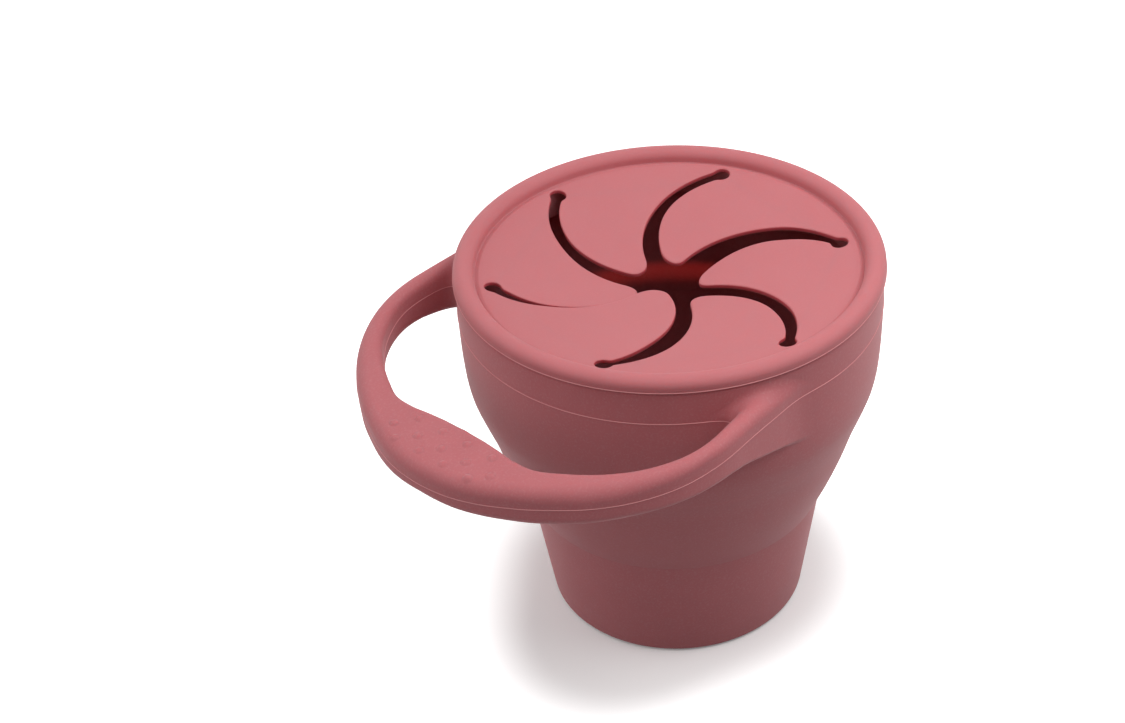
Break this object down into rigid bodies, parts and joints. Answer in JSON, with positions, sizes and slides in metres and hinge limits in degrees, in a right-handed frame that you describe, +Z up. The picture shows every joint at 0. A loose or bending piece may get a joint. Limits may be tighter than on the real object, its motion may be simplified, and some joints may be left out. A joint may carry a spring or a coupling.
{
  "type": "toddler snack cup",
  "caption": "Collapsible silicone snack cup with a sagging one-sided loop handle, dotted thumb pad and a push-in lid whose curved flaps bend to let a small hand in.",
  "frame": {"origin": "centre of the flat underside, on the cup's axis", "axes": "+Z up along the cup's axis, +X from the axis towards the middle of the loop handle"},
  "size_m": [0.1329, 0.1, 0.0962],
  "materials": {
    "cup_silicone": "matte soft-touch moulded silicone, dusty rose",
    "lid_silicone": "matte soft-touch moulded silicone, dusty rose"
  },
  "bodies": {
    "base": {"base_cup": "cup_silicone"},
    "upper": {"fold_wall": "cup_silicone", "upper_wall": "cup_silicone", "cup_rim": "cup_silicone", "left_handle_root": "cup_silicone", "right_handle_root": "cup_silicone", "left_handle_arm": "cup_silicone", "right_handle_arm": "cup_silicone", "thumb_pad": "cup_silicone", "grip_dots": "cup_silicone"},
    "lid": {"lid_rolled_edge": "lid_silicone", "lid_plug_ring": "lid_silicone", "lid_margin": "lid_silicone"},
    "petal_1": {"petal_1": "lid_silicone"},
    "petal_2": {"petal_2": "lid_silicone"},
    "petal_3": {"petal_3": "lid_silicone"},
    "petal_4": {"petal_4": "lid_silicone"},
    "petal_5": {"petal_5": "lid_silicone"},
    "petal_6": {"petal_6": "lid_silicone"}
  },
  "joints": [
    {"name": "collapse", "type": "slide", "parent": "base", "child": "upper", "axis": [0, 0, -1], "range_m": [0, 0.048], "deforming": ["fold_wall"]},
    {"name": "lid_lift", "type": "slide", "parent": "upper", "child": "lid", "axis": [0, 0, 1], "range_m": [0, 0.06]},
    {"name": "petal_1_flex", "type": "hinge", "parent": "lid", "child": "petal_1", "pos_m": [0.02239, 0.02755, 0.091], "axis": [-0.776, 0.6307, 0], "range_deg": [-40, 50], "stiffness_Nm_per_rad": 0.03},
    {"name": "petal_2_flex", "type": "hinge", "parent": "lid", "child": "petal_2", "pos_m": [-0.01267, 0.03317, 0.091], "axis": [-0.9342, -0.3567, 0], "range_deg": [-40, 50], "stiffness_Nm_per_rad": 0.03},
    {"name": "petal_3_flex", "type": "hinge", "parent": "lid", "child": "petal_3", "pos_m": [-0.03506, 0.00562, 0.091], "axis": [-0.1582, -0.9874, 0], "range_deg": [-40, 50], "stiffness_Nm_per_rad": 0.03},
    {"name": "petal_4_flex", "type": "hinge", "parent": "lid", "child": "petal_4", "pos_m": [-0.02239, -0.02755, 0.091], "axis": [0.776, -0.6307, 0], "range_deg": [-40, 50], "stiffness_Nm_per_rad": 0.03},
    {"name": "petal_5_flex", "type": "hinge", "parent": "lid", "child": "petal_5", "pos_m": [0.01267, -0.03317, 0.091], "axis": [0.9342, 0.3567, 0], "range_deg": [-40, 50], "stiffness_Nm_per_rad": 0.03},
    {"name": "petal_6_flex", "type": "hinge", "parent": "lid", "child": "petal_6", "pos_m": [0.03506, -0.00562, 0.091], "axis": [0.1582, 0.9874, 0], "range_deg": [-40, 50], "stiffness_Nm_per_rad": 0.03}
  ]
}
